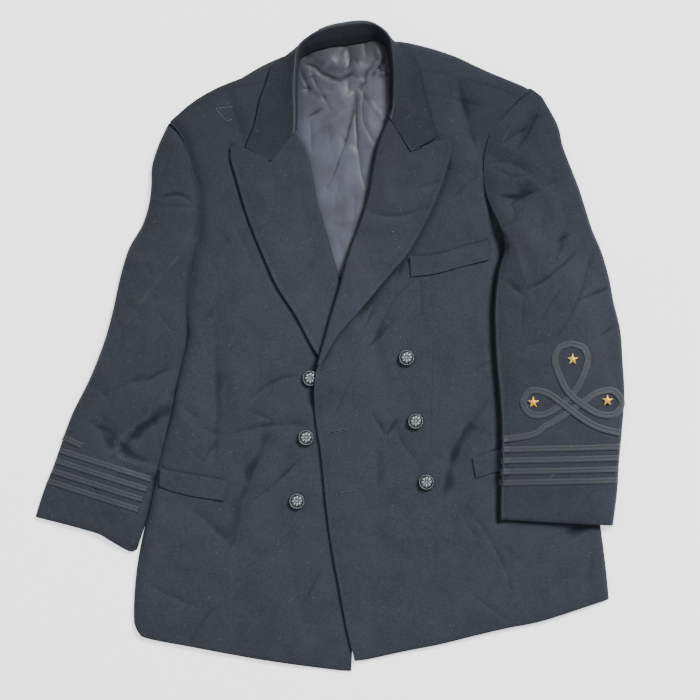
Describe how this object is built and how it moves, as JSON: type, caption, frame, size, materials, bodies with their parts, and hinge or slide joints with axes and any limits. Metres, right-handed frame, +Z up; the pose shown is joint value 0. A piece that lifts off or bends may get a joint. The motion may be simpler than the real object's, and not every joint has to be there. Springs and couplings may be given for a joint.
{
  "type": "dress jacket",
  "caption": "Dark double-breasted uniform dress jacket with peak lapels, metal buttons and braided cuffs, laid flat on its back.",
  "frame": {"origin": "on the surface the jacket lies on, under the middle of its outline's box", "axes": "+X towards the wearer's left side, +Y from the hem towards the collar, +Z up off the surface, out of the front of the jacket"},
  "size_m": [0.718, 0.7904, 0.0272],
  "materials": {
    "wool": "milled navy-grey uniform wool, soft and matt",
    "lining": "grey-lilac lining satin with a soft sheen",
    "braid": "flat woven grey-blue braid",
    "button": "antique silver, worn bright on its raised parts",
    "gilt": "gilt metal, softly polished"
  },
  "bodies": {
    "root": {"right_back": "wool", "left_back": "wool", "back_lining": "lining", "right_front": "wool", "right_lapel": "wool", "left_front": "wool", "left_lapel": "wool", "collar": "wool", "breast_pocket_welt": "wool", "right_hip_pocket_welt": "wool", "left_hip_pocket_welt": "wool", "right_sleeve_under": "wool", "right_sleeve_top": "wool", "left_sleeve_under": "wool", "left_sleeve_top": "wool", "right_button_1": "button", "right_button_2": "button", "right_button_3": "button", "left_button_1": "button", "left_button_2": "button", "left_button_3": "button", "right_cuff_stripe_1": "braid", "right_cuff_stripe_2": "braid", "right_cuff_stripe_3": "braid", "right_cuff_stripe_4": "braid", "right_cuff_braid_tail": "braid", "left_cuff_stripe_1": "braid", "left_cuff_stripe_2": "braid", "left_cuff_stripe_3": "braid", "left_cuff_stripe_4": "braid", "left_cuff_braid_knot": "braid", "cuff_star_1": "gilt", "cuff_star_2": "gilt", "cuff_star_3": "gilt"}
  },
  "joints": []
}
